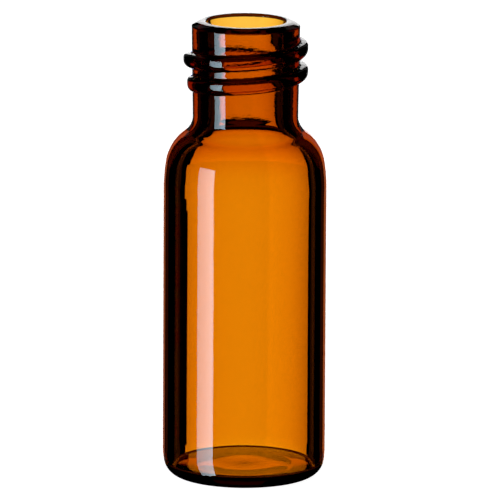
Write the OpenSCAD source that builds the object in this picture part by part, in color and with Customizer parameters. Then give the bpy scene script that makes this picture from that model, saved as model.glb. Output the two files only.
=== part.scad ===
// Screw-neck sample vial, one piece of amber glass.
// Origin at the centre of the standing plane, +Z up along the axis. Millimetres.

/* [Overall] */
// Height from the standing ring to the top of the rim
total_h = 32.55; // [28:0.05:60]

/* [Barrel] */
// Outside diameter of the barrel
barrel_d = 11.5; // [10.5:0.1:16]
// Wall of the barrel
barrel_wall = 0.78; // [0.6:0.01:1.2]

/* [Base] */
// Glass thickness of the floor
floor_t = 1.05; // [0.7:0.05:2]
// Height that the underside is pushed up at its centre
push_up_h = 0.45; // [0.1:0.05:1]
// Height that the inside floor is domed at its centre
floor_dome_h = 0.15; // [0.05:0.05:1]
// Width of the flat ring that the vial stands on
ring_w = 0.3; // [0.1:0.05:0.8]
// Radius of the heel, on both sides of the standing ring
heel_r = 1.3; // [0.6:0.1:1.8]
// Larger radius that eases the heel into the barrel
heel_ease_r = 4.0; // [2.5:0.1:6]
// Angle turned by that larger radius
heel_ease_deg = 14; // [5:1:30]
// Radius of the inside corner between floor and wall
inner_heel_r = 0.15; // [0.1:0.05:1.2]

/* [Shoulder] */
// Length of the neck, from its fillet to the top of the rim
neck_h = 6.8; // [6:0.05:12]
// Radius of the round of the shoulder
shoulder_r = 3.3; // [2.6:0.05:4]
// Larger radius that eases the barrel into the shoulder
shoulder_ease_r = 12; // [6:0.5:20]
// Angle turned by that larger radius
shoulder_ease_deg = 9; // [2:1:15]
// Radius of the fillet between shoulder and neck
neck_fillet_r = 1.3; // [0.8:0.05:2]
// Wall at the round of the shoulder
shoulder_wall = 0.65; // [0.4:0.05:1]
// Height of the inside fillet above the outside one
inner_rise = 0.08; // [0:0.02:0.2]

/* [Neck] */
// Outside diameter of the neck where it leaves the shoulder
neck_d = 7.45; // [7:0.05:8]
// Outside diameter of the rim, a little wider than the neck
rim_d = 7.65; // [7:0.05:8.2]
// Diameter of the bore through the neck
bore_d = 5.3; // [3.5:0.1:5.8]

/* [Rim] */
// Width of the sloping outer part of the rim's top
rim_bevel_w = 0.6; // [0.3:0.02:0.7]
// Slope of that part
rim_bevel_deg = 30; // [10:1:45]
// Radius of the rim's outer edge
rim_edge_r = 0.12; // [0.05:0.01:0.2]
// Radius of the crown between slope and flat top
rim_crown_r = 0.45; // [0.2:0.05:0.8]
// Radius of the rounded lip at the mouth of the bore
lip_r = 0.22; // [0.1:0.02:0.4]

/* [Screw thread] */
// Diameter over the thread's crest
thread_d = 8.8; // [8.4:0.1:9.6]
// Rise of the thread in one turn, right-hand
thread_pitch = 1.66; // [1.5:0.02:2]
// Number of turns with their run-in and run-out
thread_turns = 1.98; // [1:0.01:2.5]
// Depth of the thread's upper end below the top of the rim
thread_drop = 1.4; // [1:0.01:2]
// Direction of the thread's upper end, anticlockwise from +X
thread_start_deg = 105; // [0:5:355]
// Angle over which the thread rises to its full height
run_in_deg = 45; // [10:5:90]
// Angle over which the thread fades away at its lower end
run_out_deg = 130; // [30:5:160]
// Half width of the thread above its crest
thread_top_w = 0.5; // [0.2:0.01:0.6]
// Half width of the thread below its crest
thread_low_w = 0.64; // [0.4:0.01:0.8]

/* [Hidden] */
$fn = 96;
GLASS = [0.80, 0.42, 0.04, 0.6];

// Angle between the points of an arc, and between the sections of the thread
arc_step = 6;
thread_step = 5;
// Points on each flank of the thread's section
flank_steps = 6;
// Powers of the flanks' curves: upper flank, lower flank, and height
top_form = 3.5;
low_form = 2.6;
crest_form = 1.6;
// Depth that the thread's root is buried in the neck, and that its ends dive
thread_embed = 0.3;
thread_dip = 0.06;
// Width left at the thread's faded ends, as a share of the full width
end_width = 0.55;

barrel_r = barrel_d / 2;
bore_r = bore_d / 2;
// Outer radius of the standing ring
ring_r = barrel_r - heel_ease_r + (heel_ease_r - heel_r) * cos(heel_ease_deg);
fillet_z = total_h - neck_h;

// ---- arcs ----------------------------------------------------------------

// Points of an arc about c, from angle a0 to angle a1
function arc(c, r, a0, a1) =
    let (n = max(2, ceil(abs(a1 - a0) / arc_step)))
    [for (i = [0:n]) c + r * [cos(a0 + (a1 - a0) * i / n), sin(a0 + (a1 - a0) * i / n)]];

function reversed(points) = [for (i = [len(points) - 1:-1:0]) points[i]];

// Radius of a dome that rises by h and runs tangent into a corner arc of radius
// corner_r, whose lowest point lies at radius r
function dome_r(r, corner_r, h) = (r * r + h * h - 2 * corner_r * h) / (2 * h);

// Dome and corner arc as one curve, from the axis out to angle end_deg of the corner
function domed_floor(r, corner_r, h, z, end_deg) =
    let (dome = dome_r(r, corner_r, h))
    let (slope = asin(r / (dome + corner_r)))
    concat(
        arc([0, z + h - dome], dome, 90, 90 - slope),
        arc([r, z + corner_r], corner_r, -90 - slope, end_deg)
    );

// Shoulder as three tangent arcs, from the barrel up to the neck.
// wide and narrow are the radii of barrel and neck, top the height of the fillet's centre.
function shoulder(wide, narrow, top, ease_r, ease_deg, round_r, fillet_r) =
    let (round_x = wide - ease_r + (ease_r - round_r) * cos(ease_deg))
    let (turn = acos((narrow + fillet_r - round_x) / (round_r + fillet_r)))
    let (round_z = top - (round_r + fillet_r) * sin(turn))
    concat(
        arc([wide - ease_r, round_z - (ease_r - round_r) * sin(ease_deg)], ease_r, 0, ease_deg),
        arc([round_x, round_z], round_r, ease_deg, turn),
        arc([narrow + fillet_r, top], fillet_r, 180 + turn, 180)
    );

// ---- glass body ----------------------------------------------------------

// Rim from its outer edge over the crown to the lip of the bore
function rim_curve() =
    let (turn = 90 - rim_bevel_deg)
    let (edge_x = rim_d / 2 - rim_edge_r)
    let (crown = [rim_d / 2 - rim_bevel_w, total_h - rim_crown_r])
    let (run = edge_x - crown[0] + (rim_edge_r - rim_crown_r) * cos(turn))
    let (rise = run * tan(rim_bevel_deg))
    let (edge_z = crown[1] + (rim_crown_r - rim_edge_r) * sin(turn) - rise)
    concat(
        arc([edge_x, edge_z], rim_edge_r, 0, turn),
        arc(crown, rim_crown_r, turn, 90),
        arc([bore_r + lip_r, total_h - lip_r], lip_r, 90, 180)
    );

function outer_curve() = concat(
    domed_floor(ring_r - ring_w, heel_r, push_up_h, 0, -90),
    arc([ring_r, heel_r], heel_r, -90, -heel_ease_deg),
    arc([barrel_r - heel_ease_r, heel_r + (heel_ease_r - heel_r) * sin(heel_ease_deg)],
        heel_ease_r, -heel_ease_deg, 0),
    shoulder(barrel_r, neck_d / 2, fillet_z,
        shoulder_ease_r, shoulder_ease_deg, shoulder_r, neck_fillet_r)
);

// The inside follows the outside at the wall of each part
function inner_curve() =
    let (neck_wall = neck_d / 2 - bore_r)
    concat(
        domed_floor(barrel_r - barrel_wall - inner_heel_r, inner_heel_r, floor_dome_h, floor_t, 0),
        shoulder(barrel_r - barrel_wall, bore_r, fillet_z + inner_rise,
            shoulder_ease_r - barrel_wall, shoulder_ease_deg,
            shoulder_r - shoulder_wall, neck_fillet_r + neck_wall)
    );

module glass_body() {
    rotate_extrude()
        polygon(concat(outer_curve(), rim_curve(), reversed(inner_curve())));
}

// ---- screw thread --------------------------------------------------------

function smooth(x) = let (t = min(1, max(0, x))) t * t * (3 - 2 * t);

// Share of its full height that the thread has after turning by a
function thread_share(a) =
    smooth(a / run_in_deg) * smooth((thread_turns * 360 - a) / run_out_deg);

// Radius of the slightly tapered neck at height z
function neck_r_at(z) =
    (neck_d + (rim_d - neck_d) * (z - fillet_z) / neck_h) / 2;

// Section as [height above the crest line, share of the crest's height], from root to root
function thread_section() = concat(
    [for (i = [0:flank_steps]) let (f = 90 * i / flank_steps)
        [thread_top_w * pow(cos(f), 2 / top_form), pow(sin(f), 2 / crest_form)]],
    [for (i = [flank_steps - 1:-1:0]) let (f = 90 * i / flank_steps)
        [-thread_low_w * pow(cos(f), 2 / low_form), pow(sin(f), 2 / crest_form)]]
);

// One section of the thread in place, after turning by a from its upper end
function thread_ring(section, a) =
    let (share = thread_share(a))
    let (crest_z = total_h - thread_drop - thread_pitch * a / 360)
    let (neck_r = neck_r_at(crest_z))
    let (height = (thread_d / 2 - neck_r + thread_dip) * share)
    let (width = end_width + (1 - end_width) * share)
    let (turn = thread_start_deg - a)
    let (last = len(section) - 1)
    [for (p = concat(
            [[neck_r - thread_embed, crest_z + width * section[0][0]]],
            [for (s = section) [neck_r - thread_dip + height * s[1], crest_z + width * s[0]]],
            [[neck_r - thread_embed, crest_z + width * section[last][0]]]))
        [p[0] * cos(turn), p[0] * sin(turn), p[1]]];

module thread() {
    section = thread_section();
    sweep = thread_turns * 360;
    rings = ceil(sweep / thread_step);
    m = len(section) + 2;
    points = [for (i = [0:rings]) each thread_ring(section, sweep * i / rings)];
    sides = [for (i = [0:rings - 1], j = [0:m - 1])
        let (a = i * m + j, b = i * m + (j + 1) % m)
        each [[a, b, a + m], [b, b + m, a + m]]];
    start = [for (j = [m - 1:-1:0]) j];
    finish = [for (j = [0:m - 1]) rings * m + j];
    polyhedron(points = points, faces = concat([start], sides, [finish]), convexity = 4);
}

// ---- the vial ------------------------------------------------------------

module vial() {
    color(GLASS) union() {
        glass_body();
        thread();
    }
}

vial();
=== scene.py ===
import math

import bmesh
import bpy
from mathutils import Matrix, Vector


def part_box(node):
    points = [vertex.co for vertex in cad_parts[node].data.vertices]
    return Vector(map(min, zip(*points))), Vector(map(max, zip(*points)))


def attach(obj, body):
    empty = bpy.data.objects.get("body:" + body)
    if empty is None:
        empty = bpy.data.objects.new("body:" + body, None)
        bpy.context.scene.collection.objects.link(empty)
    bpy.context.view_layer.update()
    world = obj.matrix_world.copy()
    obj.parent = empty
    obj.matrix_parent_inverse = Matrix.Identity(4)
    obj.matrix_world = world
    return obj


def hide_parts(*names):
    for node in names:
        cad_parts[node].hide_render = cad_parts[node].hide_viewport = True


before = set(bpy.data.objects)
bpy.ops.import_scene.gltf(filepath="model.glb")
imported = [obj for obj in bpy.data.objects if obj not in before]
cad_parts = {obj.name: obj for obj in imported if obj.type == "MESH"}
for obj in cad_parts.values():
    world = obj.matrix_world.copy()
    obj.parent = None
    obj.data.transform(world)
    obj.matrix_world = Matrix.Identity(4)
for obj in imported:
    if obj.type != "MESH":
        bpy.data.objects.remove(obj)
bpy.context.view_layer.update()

# ---- the vial's glass body -------------------------------------------------------
# One piece of amber glass, drawn from a tube: straight barrel, rounded shoulder, neck
# with a fire-polished rim, and a base pushed up in the middle. Its section runs from the
# axis under the base, up the outside, over the rim and down the inside.

MM = 0.001
QUARTER_TURN = math.radians(90)

low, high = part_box("vial")
total_h = high[2] - low[2]
barrel_r = (high[0] - low[0]) / 2
barrel_wall = 0.78 * MM
barrel_row = 2 * MM


def arc(x, z, r, start, end, step):
    """Points of an arc about (x, z), at most one step of angle apart."""
    n = max(2, math.ceil(abs(end - start) / step))
    turns = [start + (end - start) * i / n for i in range(n + 1)]
    return [(x + r * math.cos(a), z + r * math.sin(a)) for a in turns]


def straight(start, end, row):
    """Points between two ends, at most one row apart, without the ends."""
    n = math.ceil(math.dist(start, end) / row)
    return [(start[0] + (end[0] - start[0]) * i / n, start[1] + (end[1] - start[1]) * i / n)
            for i in range(1, n)]


# Underside and heel: a flat cap pushed up in the middle, with a steep flank that eases
# out before the narrow ring on which the vial stands.
ring_w = 0.3 * MM
heel_r = 1.3 * MM
heel_ease_r = 4.0 * MM
heel_ease = math.radians(14)
heel_step = math.radians(4)
push_up_h = 0.176 * MM
push_up_r = 3.3 * MM
push_up_power = 4
push_up_ease = 0.08
underside_rows = 50

ring_r = barrel_r - heel_ease_r + (heel_ease_r - heel_r) * math.cos(heel_ease)
underside_edge = ring_r - ring_w


def underside_z(r):
    """Height of the underside at a radius."""
    cap = 1 - (r / push_up_r) ** push_up_power
    return push_up_h * (cap + math.sqrt(cap * cap + push_up_ease ** 2)) / 2


underside = [(r, underside_z(r))
             for r in (underside_edge * i / underside_rows for i in range(underside_rows + 1))]
heel = (arc(ring_r, heel_r, heel_r, -QUARTER_TURN, -heel_ease, heel_step)
        + arc(barrel_r - heel_ease_r, heel_r + (heel_ease_r - heel_r) * math.sin(heel_ease),
              heel_ease_r, -heel_ease, 0, heel_step))

# Shoulder: a large radius eases the barrel into the round, and a fillet leads to the neck.
# The inside follows the outside at the wall of each part.
neck_h = 6.8 * MM
neck_r = 3.725 * MM
neck_row = 0.05 * MM
bore_r = 2.65 * MM
bore_row = 1 * MM
shoulder_r = 3.3 * MM
shoulder_wall = 0.65 * MM
shoulder_ease_r = 12 * MM
shoulder_ease = math.radians(9)
neck_fillet_r = 1.3 * MM
inner_rise = 0.08 * MM
ease_step = math.radians(1.5)
round_step = math.radians(3)

fillet_z = total_h - neck_h


def shoulder(wide, narrow, top, ease_r, round_r, fillet_r):
    """Three tangent arcs from the barrel up to the neck."""
    round_x = wide - ease_r + (ease_r - round_r) * math.cos(shoulder_ease)
    turn = math.acos((narrow + fillet_r - round_x) / (round_r + fillet_r))
    round_z = top - (round_r + fillet_r) * math.sin(turn)
    ease_z = round_z - (ease_r - round_r) * math.sin(shoulder_ease)
    return (arc(wide - ease_r, ease_z, ease_r, 0, shoulder_ease, ease_step)
            + arc(round_x, round_z, round_r, shoulder_ease, turn, round_step)
            + arc(narrow + fillet_r, top, fillet_r, math.pi + turn, math.pi, round_step))


outer_shoulder = shoulder(barrel_r, neck_r, fillet_z, shoulder_ease_r, shoulder_r, neck_fillet_r)
inner_shoulder = shoulder(barrel_r - barrel_wall, bore_r, fillet_z + inner_rise,
                          shoulder_ease_r - barrel_wall, shoulder_r - shoulder_wall,
                          neck_fillet_r + neck_r - bore_r)

# Rim: a sloping outer part and a crown, rounded by the flame, and a mouth that widens a
# little from the bore to the lip.
rim_r = 3.825 * MM
rim_edge_r = 0.15 * MM
rim_edge_step = math.radians(8)
rim_bevel = math.radians(30)
rim_bevel_w = 0.8 * MM
rim_crown_r = 1.0 * MM
rim_crown_step = math.radians(4)
lip_r = 0.18 * MM
lip_step = math.radians(5)
mouth_r = 2.78 * MM
mouth_foot_z = 28.8 * MM
mouth_row = 0.5 * MM


def rim_curve():
    """Outer edge, slope, crown and lip, ending on the inside."""
    turn = QUARTER_TURN - rim_bevel
    edge_x = rim_r - rim_edge_r
    crown_x, crown_z = rim_r - rim_bevel_w, total_h - rim_crown_r
    run = edge_x - crown_x + (rim_edge_r - rim_crown_r) * math.cos(turn)
    edge_z = crown_z + (rim_crown_r - rim_edge_r) * math.sin(turn) - run * math.tan(rim_bevel)
    return (arc(edge_x, edge_z, rim_edge_r, 0, turn, rim_edge_step)
            + arc(crown_x, crown_z, rim_crown_r, turn, QUARTER_TURN, rim_crown_step)
            + arc(mouth_r + lip_r, total_h - lip_r, lip_r, QUARTER_TURN, 2 * QUARTER_TURN,
                  lip_step))


rim = rim_curve()
mouth_foot = (bore_r, mouth_foot_z)
mouth = straight(rim[-1], mouth_foot, mouth_row) + [mouth_foot]

# Inside floor: the melted end of the tube, thickest on the axis, with a shallow groove
# where it meets the wall.
floor_h = 1.217 * MM
floor_fall = 0.167 * MM
floor_fall_power = 1.5
groove_r = 4.0 * MM
groove_depth = 0.103 * MM
inner_heel_r = 0.158 * MM
inner_heel_step = math.radians(8)
floor_rows = 60

floor_edge = barrel_r - barrel_wall - inner_heel_r


def inner_floor_z(r):
    """Height of the inside floor at a radius."""
    fall = floor_fall * (r / floor_edge) ** floor_fall_power
    into_groove = max(0, (r - groove_r) / (floor_edge - groove_r))
    return floor_h - fall - groove_depth * into_groove ** 2


inner_floor = [(r, inner_floor_z(r))
               for r in (floor_edge * i / floor_rows for i in range(floor_rows + 1))]
inner_floor += arc(floor_edge, inner_floor[-1][1] + inner_heel_r, inner_heel_r,
                   -QUARTER_TURN, 0, inner_heel_step)

# The whole section is one chain of edges, marked where the thread may rise from the neck.
same_point = 1e-8
neck_margin = 0.01 * MM
outside = (underside + heel + straight(heel[-1], outer_shoulder[0], barrel_row) + outer_shoulder
           + straight(outer_shoulder[-1], rim[0], neck_row) + rim)
inside = (mouth + straight(mouth_foot, inner_shoulder[-1], bore_row) + inner_shoulder[::-1]
          + straight(inner_shoulder[0], inner_floor[-1], barrel_row) + inner_floor[::-1])
section = []
for point in outside + inside:
    if not section or math.dist(point, section[-1]) > same_point:
        section.append(point)

section_mesh = bpy.data.meshes.new("vial_section")
section_mesh.from_pydata([(x, 0, z) for x, z in section],
                         [(i, i + 1) for i in range(len(section) - 1)], [])
neck_marks = section_mesh.attributes.new("neck_outside", "FLOAT", "POINT").data
for mark, (x, z) in zip(neck_marks, section):
    is_neck = x > neck_r - neck_margin and outer_shoulder[-1][1] <= z <= rim[0][1]
    mark.value = 1.0 if is_neck else 0.0
vial = bpy.data.objects.new("vial_glass", section_mesh)
bpy.context.collection.objects.link(vial)

# ---- the vial's screw thread -----------------------------------------------------
# The finish is pressed into the hot neck by rollers: one right-hand bead, steep on top
# and rounded below, that starts just under the rim and dies out round the back. The
# nodes turn the section about the axis and raise the bead from the neck's outside.

faces_round = 232
seam_gap = 1e-7
thread_sizes = {
    "Crest Radius": 4.4 * MM,
    "Pitch": 1.66 * MM,
    "Turns": 1.855,
    "Upper End Height": total_h - 1.61 * MM,
    "Upper End Angle": math.radians(60),
    "Half Width Above": 0.5 * MM,
    "Half Width Below": 0.64 * MM,
    "Flank Power Above": 3.5,
    "Flank Power Below": 2.6,
    "Crest Power": 0.625,
    "Run In": math.radians(45),
    "Run Out": math.radians(130),
    "Root Blend": 0.12,
}

turning = bpy.data.node_groups.new("turned_glass_with_thread", "GeometryNodeTree")
turning.interface.new_socket(name="Geometry", in_out="OUTPUT", socket_type="NodeSocketGeometry")
turning.interface.new_socket(name="Section", in_out="INPUT", socket_type="NodeSocketGeometry")
for name in thread_sizes:
    turning.interface.new_socket(name=name, in_out="INPUT", socket_type="NodeSocketFloat")
turning.interface.new_socket(name="Faces Round", in_out="INPUT", socket_type="NodeSocketInt")
turning.interface.new_socket(name="Glass", in_out="INPUT", socket_type="NodeSocketMaterial")
given = turning.nodes.new("NodeGroupInput").outputs


def turning_node(kind, *fed, **settings):
    """A node whose first inputs are fed, in order, by sockets or constants."""
    n = turning.nodes.new(kind)
    for key, value in settings.items():
        setattr(n, key, value)
    for i, value in enumerate(fed):
        if isinstance(value, bpy.types.NodeSocket):
            turning.links.new(value, n.inputs[i])
        elif value is not None:
            n.inputs[i].default_value = value
    return n


def calc(operation, *fed):
    """Result of a Math node."""
    return turning_node("ShaderNodeMath", *fed, operation=operation).outputs[0]


def smooth_share(value, full):
    """0 to 1, smoothly, while value goes from 0 to full."""
    n = turning_node("ShaderNodeMapRange", interpolation_type="SMOOTHSTEP")
    turning.links.new(value, n.inputs["Value"])
    turning.links.new(full, n.inputs["From Max"])
    return n.outputs["Result"]


def stored(geometry, name, value):
    """The geometry with a number stored at each of its points."""
    n = turning_node("GeometryNodeStoreNamedAttribute", geometry,
                     data_type="FLOAT", domain="POINT")
    n.inputs["Name"].default_value = name
    turning.links.new(value, n.inputs["Value"])
    return n.outputs[0]


def number_at_point(name):
    """The number stored under a name."""
    n = turning_node("GeometryNodeInputNamedAttribute", data_type="FLOAT")
    n.inputs["Name"].default_value = name
    return n.outputs[0]


# The section is swept round a circle, and each point keeps its radius, height and turn.
section_place = turning_node("ShaderNodeSeparateXYZ",
                             turning_node("GeometryNodeInputPosition").outputs[0]).outputs
profile = stored(given["Section"], "section_r", section_place[0])
profile = stored(profile, "section_z", section_place[2])
profile = turning_node("GeometryNodeMeshToCurve", profile).outputs[0]
circle = turning_node("GeometryNodeCurvePrimitiveCircle", given["Faces Round"]).outputs[0]
face_turn = calc("DIVIDE", 2 * math.pi, given["Faces Round"])
face_number = turning_node("GeometryNodeInputIndex").outputs[0]
circle = stored(circle, "turn", calc("MULTIPLY", face_number, face_turn))
swept = turning_node("GeometryNodeCurveToMesh", circle, profile).outputs[0]
radius = number_at_point("section_r")
height = number_at_point("section_z")
turn = number_at_point("turn")

# Each winding adds its bead where the point lies near its crest line.
first_turn = calc("WRAP", calc("SUBTRACT", given["Upper End Angle"], turn), 2 * math.pi, 0.0)
whole_turn = calc("MULTIPLY", given["Turns"], 2 * math.pi)
rise_per_radian = calc("DIVIDE", given["Pitch"], 2 * math.pi)
thread_rise = 0.0
for winding in range(math.ceil(thread_sizes["Turns"])):
    along = calc("ADD", first_turn, winding * 2 * math.pi)
    crest_z = calc("SUBTRACT", given["Upper End Height"], calc("MULTIPLY", along, rise_per_radian))
    off_crest = calc("SUBTRACT", height, crest_z)
    above = calc("DIVIDE", calc("MAXIMUM", off_crest, 0.0), given["Half Width Above"])
    below = calc("DIVIDE", calc("MAXIMUM", calc("MULTIPLY", off_crest, -1.0), 0.0),
                 given["Half Width Below"])
    fall = calc("SUBTRACT", 1.0, calc("ADD", calc("POWER", above, given["Flank Power Above"]),
                                      calc("POWER", below, given["Flank Power Below"])))
    flank = calc("POWER", calc("MAXIMUM", fall, 0.0), given["Crest Power"])
    bead = calc("ADD", flank, calc("MINIMUM", fall, 0.0))
    bead = calc("SMOOTH_MAX", bead, 0.0, given["Root Blend"])
    fade = calc("MULTIPLY", smooth_share(along, given["Run In"]),
                smooth_share(calc("SUBTRACT", whole_turn, along), given["Run Out"]))
    thread_rise = calc("ADD", thread_rise, calc("MULTIPLY", bead, fade))
thread_rise = calc("MULTIPLY", thread_rise, number_at_point("neck_outside"))
thread_rise = calc("MULTIPLY", thread_rise, calc("SUBTRACT", given["Crest Radius"], radius))
radius = calc("ADD", radius, thread_rise)

# The turned glass is closed along its seam and at the axis.
turned_place = turning_node("ShaderNodeCombineXYZ", calc("MULTIPLY", radius, calc("COSINE", turn)),
                            calc("MULTIPLY", radius, calc("SINE", turn)), height).outputs[0]
turned = turning_node("GeometryNodeSetPosition", swept, None, turned_place).outputs[0]
closed = turning_node("GeometryNodeMergeByDistance", turned)
closed.inputs["Distance"].default_value = seam_gap
smoothed = turning_node("GeometryNodeSetShadeSmooth", closed.outputs[0]).outputs[0]
real = turning_node("GeometryNodeRealizeInstances", smoothed).outputs[0]
finished = turning_node("GeometryNodeSetMaterial", real)
turning.links.new(given["Glass"], finished.inputs["Material"])
turning.links.new(finished.outputs[0], turning_node("NodeGroupOutput").inputs[0])

# ---- the vial's amber glass ------------------------------------------------------
# Clear amber glass, coloured right through by iron and sulphur: it swallows blue at once
# and green within a millimetre or two, so its colour deepens with its thickness. Drawing
# leaves long faint streaks in its surface, and the rollers leave marks on the neck.

streaks_per_m = (2200, 2200, 45)
streak_detail = 1.5
streak_depth = 0.0008 * MM
roller_marks_per_m = (2600, 2600, 7000)
roller_mark_detail = 2.5
roller_mark_depth = 0.006 * MM
roller_marks_foot_z = 25.6 * MM
roller_marks_fade_in = 1 * MM
glass_ior = 1.52
body_colour = (0.896, 0.717, 0.0, 1)
body_density = 4600.0

surface = bpy.data.node_groups.new("drawn_glass_surface", "ShaderNodeTree")
surface.interface.new_socket(name="Position", in_out="INPUT", socket_type="NodeSocketVector")
for name in ("Streak Depth", "Roller Mark Depth", "Neck Height"):
    surface.interface.new_socket(name=name, in_out="INPUT", socket_type="NodeSocketFloat")
surface.interface.new_socket(name="Normal", in_out="OUTPUT", socket_type="NodeSocketVector")
surface_given = surface.nodes.new("NodeGroupInput").outputs


def surface_node(kind, fed, **settings):
    """Outputs of a node whose inputs are fed by name or number."""
    n = surface.nodes.new(kind)
    for key, value in settings.items():
        setattr(n, key, value)
    for socket, value in fed.items():
        if isinstance(value, bpy.types.NodeSocket):
            surface.links.new(value, n.inputs[socket])
        else:
            n.inputs[socket].default_value = value
    return n.outputs


def unevenness(per_m, detail, depth):
    """Relief of a given depth whose forms come at a given rate along each axis."""
    stretched = surface_node("ShaderNodeVectorMath", {0: surface_given["Position"], 1: per_m},
                             operation="MULTIPLY")["Vector"]
    noise = surface_node("ShaderNodeTexNoise",
                         {"Vector": stretched, "Scale": 1.0, "Detail": detail})[0]
    return surface_node("ShaderNodeMath", {0: noise, 1: depth}, operation="MULTIPLY")[0]


streaks = unevenness(streaks_per_m, streak_detail, surface_given["Streak Depth"])
roller_marks = unevenness(roller_marks_per_m, roller_mark_detail,
                          surface_given["Roller Mark Depth"])
point_z = surface_node("ShaderNodeSeparateXYZ", {0: surface_given["Position"]})[2]
above_foot = surface_node("ShaderNodeMath", {0: point_z, 1: surface_given["Neck Height"]},
                          operation="SUBTRACT")[0]
on_neck = surface_node("ShaderNodeMapRange",
                       {"Value": above_foot, "From Max": roller_marks_fade_in},
                       interpolation_type="SMOOTHSTEP")["Result"]
roller_marks = surface_node("ShaderNodeMath", {0: roller_marks, 1: on_neck},
                            operation="MULTIPLY")[0]
relief = surface_node("ShaderNodeMath", {0: streaks, 1: roller_marks}, operation="ADD")[0]
normal = surface_node("ShaderNodeBump", {"Height": relief, "Strength": 1.0, "Distance": 1.0})[0]
surface.links.new(normal, surface.nodes.new("NodeGroupOutput").inputs[0])

amber = bpy.data.materials.new("amber_glass")
amber.use_nodes = True
amber_nodes, amber_links = amber.node_tree.nodes, amber.node_tree.links
glass_shader = amber_nodes["Principled BSDF"]
glass_shader.inputs["Base Color"].default_value = (1, 1, 1, 1)
glass_shader.inputs["Transmission Weight"].default_value = 1.0
glass_shader.inputs["IOR"].default_value = glass_ior
glass_shader.inputs["Roughness"].default_value = 0.0
drawn_surface = amber_nodes.new("ShaderNodeGroup")
drawn_surface.node_tree = surface
drawn_surface.inputs["Streak Depth"].default_value = streak_depth
drawn_surface.inputs["Roller Mark Depth"].default_value = roller_mark_depth
drawn_surface.inputs["Neck Height"].default_value = roller_marks_foot_z
glass_place = amber_nodes.new("ShaderNodeTexCoord")
amber_links.new(glass_place.outputs["Object"], drawn_surface.inputs["Position"])
amber_links.new(drawn_surface.outputs[0], glass_shader.inputs["Normal"])
glass_body = amber_nodes.new("ShaderNodeVolumeAbsorption")
glass_body.inputs["Color"].default_value = body_colour
glass_body.inputs["Density"].default_value = body_density
amber_links.new(glass_body.outputs[0], amber_nodes["Material Output"].inputs["Volume"])

# The nodes' result becomes a plain mesh, with its faces turned to point out of the glass.
turner = vial.modifiers.new("turning", "NODES")
turner.node_group = turning
sizes_and_glass = {**thread_sizes, "Faces Round": faces_round, "Glass": amber}
for item in turning.interface.items_tree:
    if item.in_out == "INPUT" and item.name in sizes_and_glass:
        turner[item.identifier] = sizes_and_glass[item.name]
evaluated = vial.evaluated_get(bpy.context.evaluated_depsgraph_get())
glass_mesh = bpy.data.meshes.new_from_object(evaluated)
vial.modifiers.remove(turner)
vial.data = glass_mesh
glass_mesh.name = "vial_glass"
for name in ("section_r", "section_z", "turn", "neck_outside"):
    used = glass_mesh.attributes.get(name)
    if used:
        glass_mesh.attributes.remove(used)
shell = bmesh.new()
shell.from_mesh(glass_mesh)
bmesh.ops.recalc_face_normals(shell, faces=shell.faces)
shell.to_mesh(glass_mesh)
shell.free()

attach(vial, "root")
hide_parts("vial")

# ---- camera ----------------------------------------------------------------------
# A long lens 0.7 m away, looking down a little, with a slight roll. It is aimed a few
# pixels beside the vial's middle, in a picture 500 pixels wide.

camera_distance = 0.70
look_down = math.radians(11.55)
roll = math.radians(0.285)
picture_w = 35.18 * MM
picture_px = 500
aim_right_px = 5.1
aim_up_px = 2.0
vial_middle = 16 * MM

camera_data = bpy.data.cameras.new("camera")
camera_data.angle = 2 * math.atan(picture_w / 2 / camera_distance)
camera_data.clip_start = 0.01
camera_data.clip_end = 5
camera = bpy.data.objects.new("camera", camera_data)
bpy.context.collection.objects.link(camera)
back = Vector((0, -math.cos(look_down), math.sin(look_down)))
look = (-back).to_track_quat("-Z", "Y").to_matrix().to_4x4()
px_angle = camera_data.angle / picture_px
nudge = (Matrix.Rotation(-aim_right_px * px_angle, 4, "Y")
         @ Matrix.Rotation(aim_up_px * px_angle, 4, "X"))
camera.matrix_world = (Matrix.Translation(Vector((0, 0, vial_middle)) + back * camera_distance)
                       @ look @ nudge @ Matrix.Rotation(roll, 4, "Z"))
bpy.context.scene.camera = camera

# ---- studio lights ---------------------------------------------------------------
# A lit white panel behind the vial, a dim table below it, the dim edges of two black
# flags and a tall cool softbox at the front left. They turn with the camera and are seen
# only in the glass. Azimuths go clockwise, seen from above, from straight behind the vial.

panel_distance = 0.5
softbox_distance = 0.45
brightest_in_curve = 2
most_bends = 10


def stage_sheet(name, corners, material):
    """Flat sheet that belongs to the stage."""
    mesh = bpy.data.meshes.new(name)
    mesh.from_pydata(corners, [], [tuple(range(len(corners)))])
    mesh.materials.append(material)
    sheet = bpy.data.objects.new(name, mesh)
    bpy.context.collection.objects.link(sheet)
    return sheet


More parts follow.
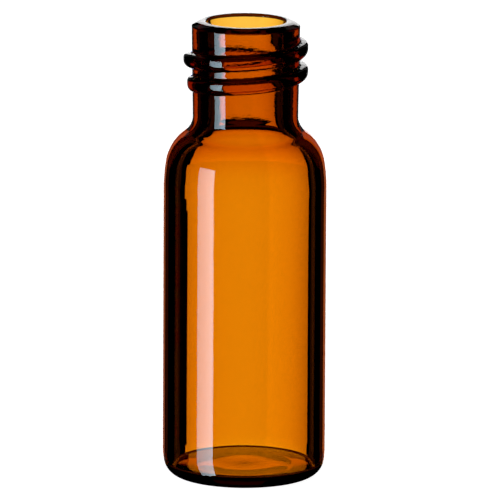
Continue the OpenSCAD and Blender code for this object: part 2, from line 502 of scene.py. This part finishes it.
def panel_light(name, strength, tint, shares, across=((-1, 1), (1, 1))):
    """Light of a panel. shares has the part of the strength, or the tint, that a ray gets
    after it was bent or mirrored once, twice and so on, and the last one holds from there
    on. across has places along the panel, in metres, with the brightness at each."""
    m = bpy.data.materials.new(name)
    m.use_nodes = True
    m.node_tree.nodes.clear()
    add, link = m.node_tree.nodes.new, m.node_tree.links.new

    bends = add("ShaderNodeMath")
    bends.operation = "DIVIDE"
    link(add("ShaderNodeLightPath").outputs["Ray Depth"], bends.inputs[0])
    bends.inputs[1].default_value = most_bends
    by_bends = add("ShaderNodeValToRGB")
    by_bends.color_ramp.interpolation = "CONSTANT"
    steps = by_bends.color_ramp.elements
    steps.remove(steps[1])
    for i, share in enumerate(shares):
        step = steps[0] if i == 0 else steps.new((i + 0.5) / most_bends)
        step.color = (*share, 1) if isinstance(share, tuple) else (share, share, share, 1)
    link(bends.outputs[0], by_bends.inputs[0])
    tinted = add("ShaderNodeVectorMath")
    tinted.operation = "MULTIPLY"
    link(by_bends.outputs[0], tinted.inputs[0])
    tinted.inputs[1].default_value = tint

    (left, left_bright), *between, (right, right_bright) = across
    place = add("ShaderNodeSeparateXYZ")
    link(add("ShaderNodeTexCoord").outputs["Object"], place.inputs[0])
    span = add("ShaderNodeMapRange")
    link(place.outputs[0], span.inputs["Value"])
    span.inputs["From Min"].default_value = left
    span.inputs["From Max"].default_value = right
    falloff = add("ShaderNodeFloatCurve")
    curve = falloff.mapping.curves[0]
    for x, bright in between:
        curve.points.new((x - left) / (right - left), bright / brightest_in_curve)
    curve.points[0].location = (0, left_bright / brightest_in_curve)
    curve.points[-1].location = (1, right_bright / brightest_in_curve)
    for point in curve.points:
        point.handle_type = "VECTOR"
    falloff.mapping.update()
    link(span.outputs["Result"], falloff.inputs["Value"])
    level = add("ShaderNodeMath")
    level.operation = "MULTIPLY"
    link(falloff.outputs[0], level.inputs[0])
    level.inputs[1].default_value = strength * brightest_in_curve

    glow = add("ShaderNodeEmission")
    link(tinted.outputs[0], glow.inputs[0])
    link(level.outputs[0], glow.inputs[1])
    link(glow.outputs[0], add("ShaderNodeOutputMaterial").inputs[0])
    return m


def around(azimuth, distance, z):
    """Place at an azimuth and a distance from the vial's axis."""
    a = math.radians(azimuth)
    return (distance * math.sin(a), distance * math.cos(a), z)


def panel(name, azimuths, elevations, light, distance=panel_distance):
    """Upright flat panel between two azimuths and two elevations, in degrees."""
    (left, right), (lowest, highest) = azimuths, elevations
    bottom = vial_middle + distance * math.tan(math.radians(lowest))
    top = vial_middle + distance * math.tan(math.radians(highest))
    sheet = stage_sheet(name, [around(left, distance, bottom), around(right, distance, bottom),
                               around(right, distance, top), around(left, distance, top)], light)
    sheet.parent = camera
    sheet.matrix_parent_inverse = camera.matrix_world.inverted()
    sheet.visible_camera = False
    sheet.visible_shadow = False


backdrop_strength = 1.95
backdrop_across = ((-0.097, 0.9), (-0.06, 0.98), (0.0, 1.0), (0.019, 0.98), (0.021, 1.07),
                   (0.05, 1.03), (0.1, 0.88), (0.14, 0.8))
mouth_tint = (0.95, 1.22, 4.5)
lower_light = panel_light("lit_white_panel_low", backdrop_strength, (1, 1, 1),
                          (1, mouth_tint, 1, 1, 0.2, 0.2, 0), backdrop_across)
upper_light = panel_light("lit_white_panel_high", backdrop_strength, (1, 1, 1),
                          (1, 0, 1, 1.15, 1, 0.3, 1, 0), backdrop_across)
panel("backdrop_low", (-10.8, 15.9), (-15.5, 0), lower_light)
panel("backdrop_high", (-10.8, 15.9), (0, 30), upper_light)
panel("backdrop_tab", (-11.6, -10.8), (-10.9, 0), lower_light)
panel("backdrop_tab_end", (-12.4, -11.6), (-10.3, 0), lower_light)

table_light = panel_light("dim_table", 0.13, (1, 0.35, 0.3), (0, 1, 1, 1, 0))
panel("table_panel", (-40, 40), (-70, -15.5), table_light)

flag_light = panel_light("flag_edge", 0.06, (1, 1, 1), (1, 1, 1, 1, 0))
panel("left_flag_edge", (-27, -18), (-40, 40), flag_light)
panel("right_flag_edge", (20, 30), (-40, 40), flag_light)

softbox_across = ((-0.424, 0.58), (-0.37, 0.85), (-0.316, 1.15))
softbox_light = panel_light("softbox_face", 8.5, (0.64, 0.86, 1.0), (1, 0), softbox_across)
panel("softbox", (224.7, 250.3), (-38, 16), softbox_light, softbox_distance)

# ---- floor and background --------------------------------------------------------
# A wide sheet of plain white card under the vial, evenly lit, in a white surround. The
# glass doesn't mirror or bend them, and shows the panels in their place.

floor_half = 3.0
floor_z = -0.02 * MM

white_card = bpy.data.materials.new("white_sweep")
white_card.use_nodes = True
card_shader = white_card.node_tree.nodes["Principled BSDF"]
card_shader.inputs["Base Color"].default_value = (0.8, 0.8, 0.8, 1)
card_shader.inputs["Roughness"].default_value = 0.9
card_shader.inputs["Emission Color"].default_value = (1, 1, 1, 1)
card_shader.inputs["Emission Strength"].default_value = 1.0
floor = stage_sheet("floor", [(x * floor_half, y * floor_half, 0)
                              for x, y in ((-1, -1), (1, -1), (1, 1), (-1, 1))], white_card)
floor.location.z = floor_z
floor.visible_transmission = False
floor.visible_glossy = False
floor.visible_diffuse = False

surround = bpy.data.worlds.new("studio")
bpy.context.scene.world = surround
surround.use_nodes = True
surround_light = surround.node_tree.nodes["Background"]
seen_by = surround.node_tree.nodes.new("ShaderNodeLightPath")
surround_light.inputs[0].default_value = (1, 1, 1, 1)
surround.node_tree.links.new(seen_by.outputs["Is Camera Ray"], surround_light.inputs[1])

bpy.context.scene.view_settings.view_transform = "Standard"
